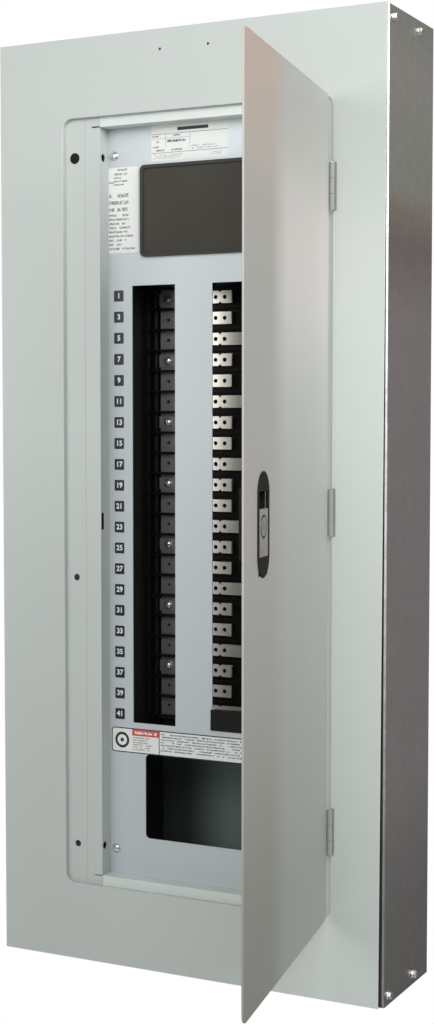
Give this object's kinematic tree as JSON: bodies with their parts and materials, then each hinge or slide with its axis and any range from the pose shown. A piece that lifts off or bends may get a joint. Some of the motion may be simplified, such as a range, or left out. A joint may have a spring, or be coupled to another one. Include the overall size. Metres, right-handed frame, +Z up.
{
  "type": "circuit breaker panelboard",
  "caption": "Tall wall-mounted circuit panel with an open hinged door, flat front trim, dead front with breaker slots and stacked bus-bar tabs, in a galvanised box.",
  "frame": {"origin": "centre of the box's back face, on the wall", "axes": "+Y into the wall, the front faces -Y; +Z up; +X right as seen from the front"},
  "size_m": [0.512, 0.4966, 1.1176],
  "materials": {
    "enclosure_paint": "smooth light grey powder paint, satin",
    "dead_front_paint": "pale blue-grey paint, satin",
    "galvanised_steel": "zinc-coated sheet with a faint spangle, semi-gloss",
    "dark_steel": "dark coated interior steel, satin",
    "zinc_plate": "bright zinc-plated fasteners",
    "tin_plate": "tin-plated aluminium bar, pale and softly bright",
    "black_plastic": "moulded black plastic, satin",
    "latch_metal": "die-cast, satin nickel-like finish with handling marks",
    "lug_aluminium": "extruded, plain",
    "card_stock": "matt printed card"
  },
  "bodies": {
    "enclosure": {"bottom_end_wall": "galvanised_steel", "box_wrap": "galvanised_steel", "breaker_mounting_rail_left": "black_plastic", "breaker_mounting_rail_right": "black_plastic", "bus_bar_a": "tin_plate", "bus_bar_b": "tin_plate", "bus_bar_c": "tin_plate", "bus_insulator_base": "black_plastic", "bus_insulator_cover": "black_plastic", "chassis_rail_left": "dark_steel", "chassis_rail_right": "dark_steel", "dead_front": "dead_front_paint", "dead_front_screw_1": "zinc_plate", "dead_front_screw_2": "zinc_plate", "dead_front_screw_3": "zinc_plate", "dead_front_screw_4": "zinc_plate", "end_wall_screw_1": "zinc_plate", "end_wall_screw_2": "zinc_plate", "end_wall_screw_3": "zinc_plate", "end_wall_screw_4": "zinc_plate", "end_wall_screw_5": "zinc_plate", "end_wall_screw_6": "zinc_plate", "end_wall_screw_7": "zinc_plate", "end_wall_screw_8": "zinc_plate", "frame_bottom_rail": "enclosure_paint", "frame_left_stile": "enclosure_paint", "frame_plug": "black_plastic", "frame_right_stile": "enclosure_paint", "frame_top_rail": "enclosure_paint", "front_trim": "enclosure_paint", "ground_bar": "lug_aluminium", "hinge_frame_leaf_1": "enclosure_paint", "hinge_frame_leaf_2": "enclosure_paint", "hinge_frame_leaf_3": "enclosure_paint", "hinge_pin_1": "zinc_plate", "hinge_pin_2": "zinc_plate", "hinge_pin_3": "zinc_plate", "interior_pan": "dark_steel", "main_filler_plate": "black_plastic", "main_lug_a": "lug_aluminium", "main_lug_b": "lug_aluminium", "main_lug_c": "lug_aluminium", "neutral_bar": "lug_aluminium", "pole_filler_plate": "black_plastic", "top_end_wall": "galvanised_steel", "trim_clamp_screw_1": "zinc_plate", "trim_clamp_screw_2": "zinc_plate", "trim_clamp_screw_3": "zinc_plate", "trim_clamp_screw_4": "zinc_plate"},
    "door": {"door_panel": "enclosure_paint", "hinge_door_leaf_1": "enclosure_paint", "hinge_door_leaf_2": "enclosure_paint", "hinge_door_leaf_3": "enclosure_paint", "latch_escutcheon": "black_plastic", "latch_case": "black_plastic", "directory_holder": "black_plastic", "directory_card": "card_stock"},
    "slider": {"latch_slider": "latch_metal"},
    "bolt": {"latch_bolt": "latch_metal"},
    "lock": {"lock_cylinder": "latch_metal"}
  },
  "joints": [
    {"name": "door_hinge", "type": "hinge", "parent": "enclosure", "child": "door", "pos_m": [0.1883, -0.1495, 0], "axis": [0, 0, 1], "range_deg": [-100.5, 70]},
    {"name": "latch_slide", "type": "slide", "parent": "door", "child": "slider", "axis": [0, 0, 1], "range_m": [0, 0.015]},
    {"name": "latch_bolt_throw", "type": "slide", "parent": "door", "child": "bolt", "axis": [0.1822, -0.9833, 0], "range_m": [0, 0.0075]},
    {"name": "lock_turn", "type": "hinge", "parent": "slider", "child": "lock", "pos_m": [0.23983, -0.42807, 0.0022], "axis": [0.9833, 0.1822, 0], "range_deg": [0, 90]}
  ],
  "couplings": [
    {"joint": "latch_bolt_throw", "follows": "latch_slide", "ratio": 0.5}
  ]
}
